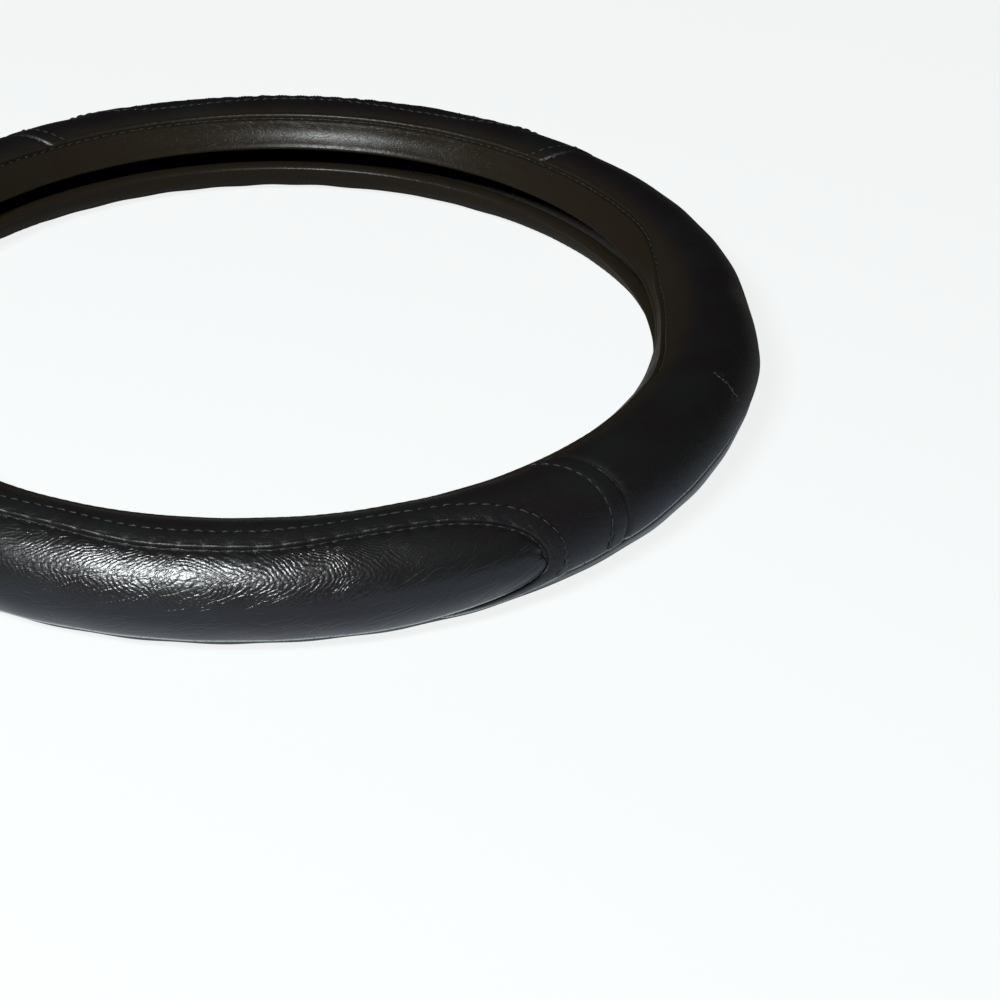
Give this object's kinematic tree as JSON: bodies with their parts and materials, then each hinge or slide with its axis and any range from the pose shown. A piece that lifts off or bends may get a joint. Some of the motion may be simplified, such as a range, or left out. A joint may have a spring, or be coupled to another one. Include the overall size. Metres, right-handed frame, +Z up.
{
  "type": "steering wheel cover",
  "caption": "Ring-shaped steering wheel cover with a slit C section: sewn black leatherette over a rubber ring, with two smooth grip panels.",
  "frame": {"origin": "centre of the ring, in the middle of its thickness", "axes": "+Z up along the ring's axis, the face that is turned to the driver up; -Y to the middle of one grip panel, +X to the side between the two panels"},
  "size_m": [0.389, 0.389, 0.042],
  "materials": {
    "leatherette": "fine grained, satin",
    "panel_leatherette": "fine wrinkled grain, satin",
    "rubber": "matt",
    "thread": "twisted thread, slight sheen"
  },
  "bodies": {
    "root": {"back_skin": "leatherette", "bottom_grip_panel": "panel_leatherette", "bottom_grip_surround": "leatherette", "bottom_left_joint_thread": "thread", "bottom_left_joint_topstitch": "thread", "bottom_panel_seam_thread": "thread", "bottom_panel_topstitch": "thread", "bottom_right_joint_thread": "thread", "bottom_right_joint_topstitch": "thread", "core_ring": "rubber", "left_side_skin": "leatherette", "lower_hem_band": "leatherette", "lower_hem_thread": "thread", "outer_seam_thread": "thread", "right_side_skin": "leatherette", "top_grip_panel": "panel_leatherette", "top_grip_surround": "leatherette", "top_left_joint_thread": "thread", "top_left_joint_topstitch": "thread", "top_panel_seam_thread": "thread", "top_panel_topstitch": "thread", "top_right_joint_thread": "thread", "top_right_joint_topstitch": "thread", "upper_hem_band": "leatherette", "upper_hem_thread": "thread"}
  },
  "joints": []
}
